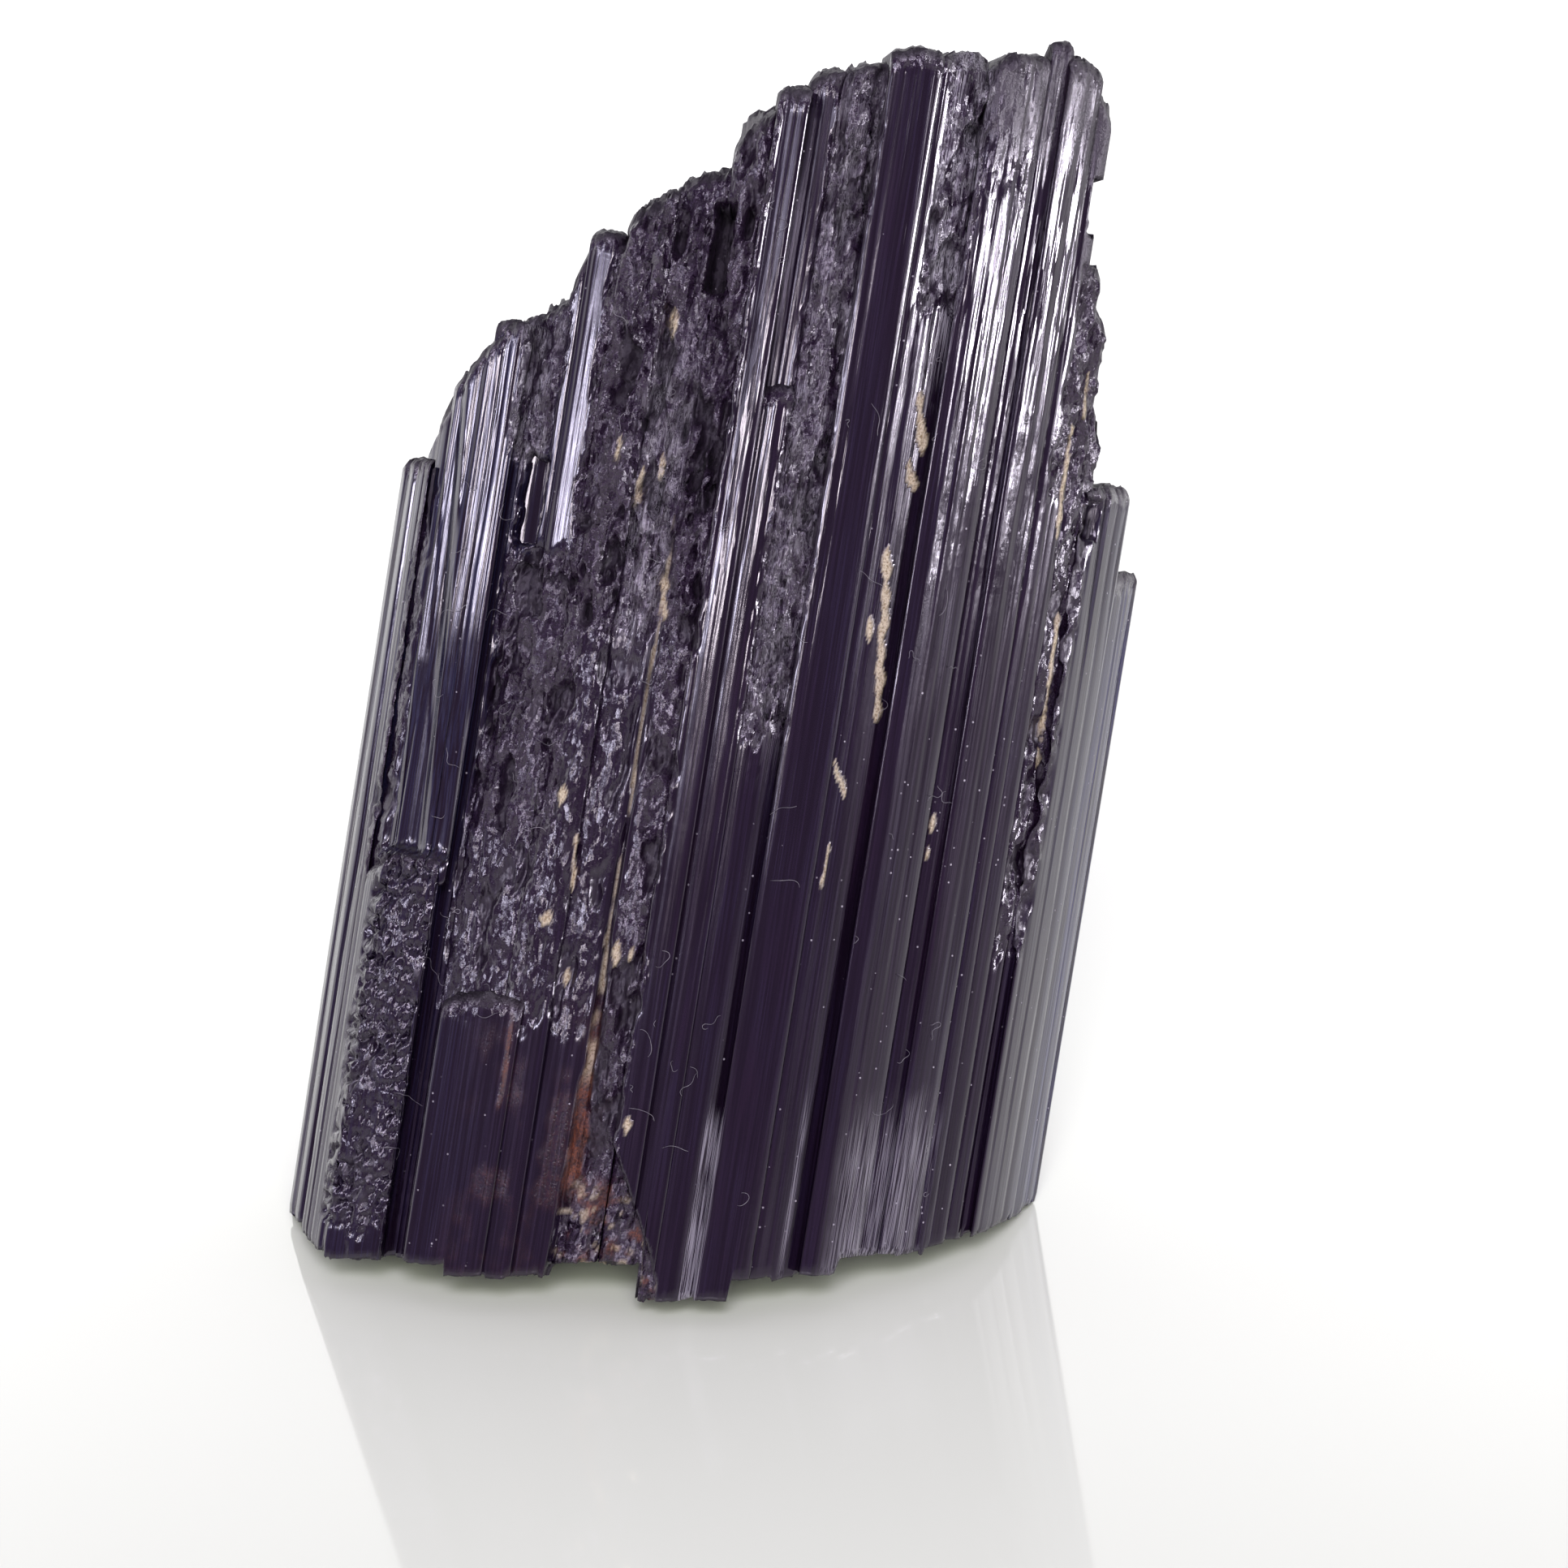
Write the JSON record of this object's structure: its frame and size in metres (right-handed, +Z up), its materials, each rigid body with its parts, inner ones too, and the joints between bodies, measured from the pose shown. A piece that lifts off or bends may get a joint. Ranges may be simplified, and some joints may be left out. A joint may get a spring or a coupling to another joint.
{
  "type": "tourmaline crystal",
  "caption": "Black tourmaline chunk: lengthwise ribbed columns grown together, with a stepped broken top and a flat broken base it stands on.",
  "frame": {"origin": "on the resting plane, under the middle of the bounding box", "axes": "+Z up, -Y towards the wide front face, +X to the right when looking at the front"},
  "size_m": [0.0414, 0.0403, 0.0555],
  "materials": {
    "schorl": "glassy black with a purple tint, ribbed lengthwise, rough where broken"
  },
  "bodies": {
    "root": {"tourmaline_crystal": "schorl"}
  },
  "joints": []
}
